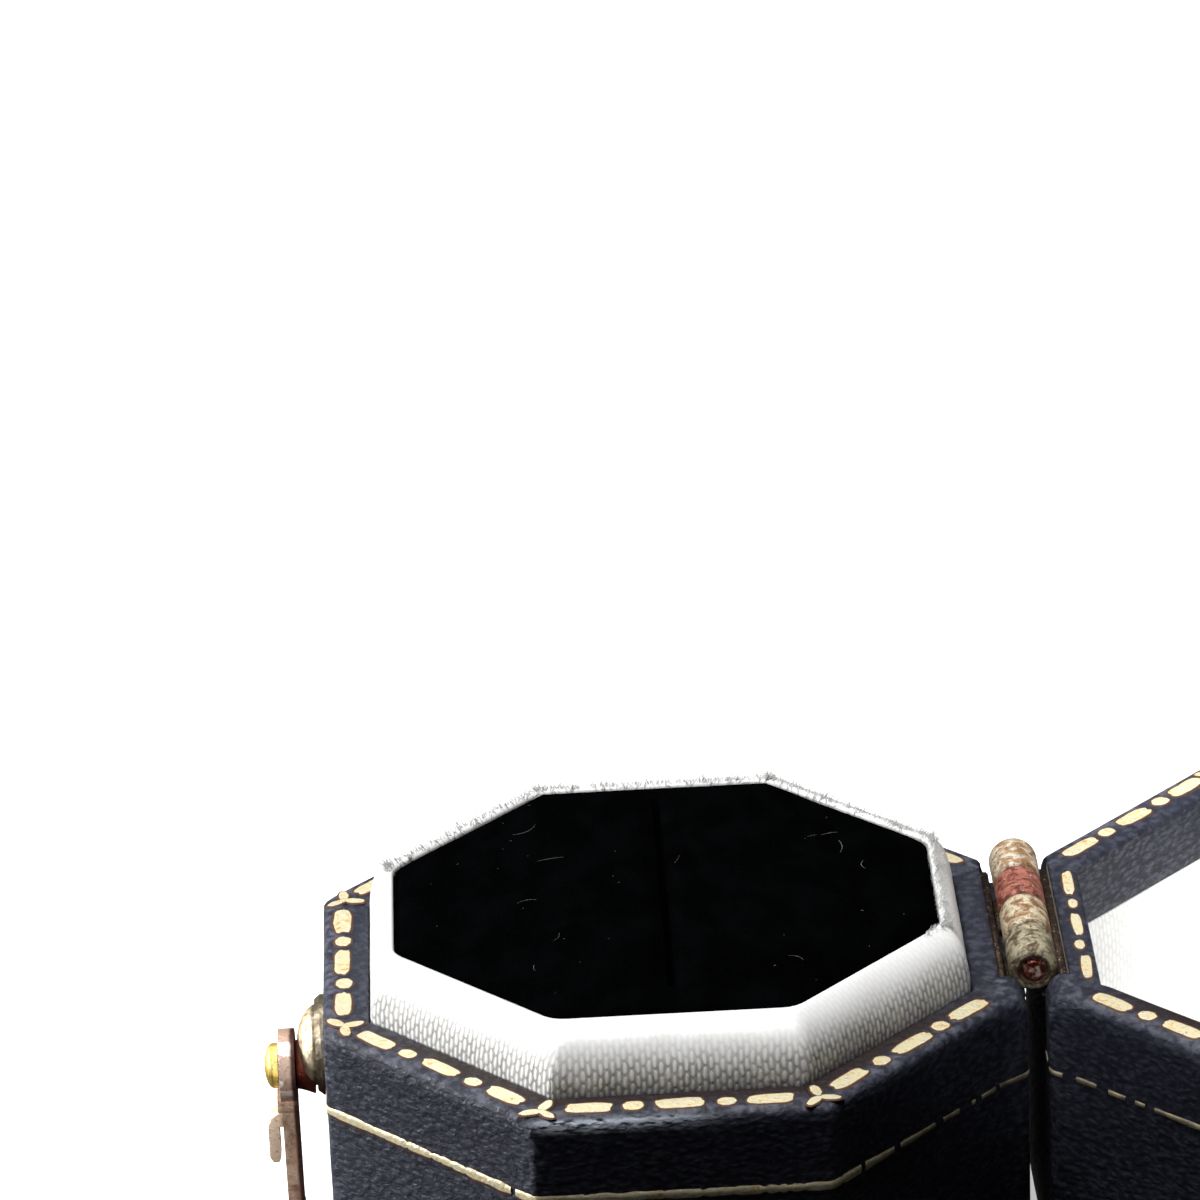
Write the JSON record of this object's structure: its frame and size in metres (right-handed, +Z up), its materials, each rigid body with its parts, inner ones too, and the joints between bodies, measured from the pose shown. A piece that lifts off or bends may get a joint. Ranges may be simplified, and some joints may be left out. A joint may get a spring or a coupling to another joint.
{
  "type": "ring box",
  "caption": "Octagonal leatherette ring box with a full-opening lid, slit velvet ring pad, satin collar and lining, gold tooling, barrel hinge and swing hook.",
  "frame": {"origin": "centre of the base's underside, where the box stands", "axes": "+Z up; +X from the base across the hinge to the opened lid; +Y along the hinge"},
  "size_m": [0.0943, 0.0422, 0.0253],
  "materials": {
    "leatherette": "navy leatherette, fine pebbled grain",
    "board": "grey board carcass and cards",
    "gold_foil": "pale gold foil tooling",
    "satin": "white satin",
    "velvet": "black velvet",
    "foam": "open-cell foam padding",
    "hinge_brass": "aged brass, tarnished",
    "clasp_brass": "coppery stamped brass",
    "rivet_brass": "bright brass heads"
  },
  "bodies": {
    "base": {"base_shell": "board", "base_cover": "leatherette", "base_bottom_sheet": "leatherette", "base_rim_tooling": "gold_foil", "base_side_line": "gold_foil", "collar_card": "board", "collar_wadding": "foam", "collar_satin": "satin", "pad_card": "board", "pad_foam": "foam", "pad_velvet": "velvet", "hinge_leaf_base": "hinge_brass", "hinge_nails_base": "rivet_brass", "hinge_pin": "hinge_brass", "hook_rosette": "clasp_brass", "hook_rivet": "rivet_brass"},
    "lid": {"lid_shell": "board", "lid_cover": "leatherette", "lid_top_sheet": "leatherette", "lid_rim_tooling": "gold_foil", "lid_side_line": "gold_foil", "lid_lining": "satin", "lid_pad_card": "board", "lid_pad_foam": "foam", "lid_pad_satin": "satin", "hinge_leaf_lid": "hinge_brass", "hinge_nails_lid": "rivet_brass", "catch_rosette": "clasp_brass", "catch_stud": "rivet_brass"},
    "hook": {"hook": "clasp_brass"}
  },
  "joints": [
    {"name": "lid_hinge", "type": "hinge", "parent": "base", "child": "lid", "pos_m": [0.02205, 0.0017, 0.0211], "axis": [0, -1, 0], "range_deg": [0, 180]},
    {"name": "hook_swing", "type": "hinge", "parent": "base", "child": "hook", "pos_m": [-0.0235, 0, 0.0141], "axis": [1, 0, 0], "range_deg": [0, 180]}
  ]
}
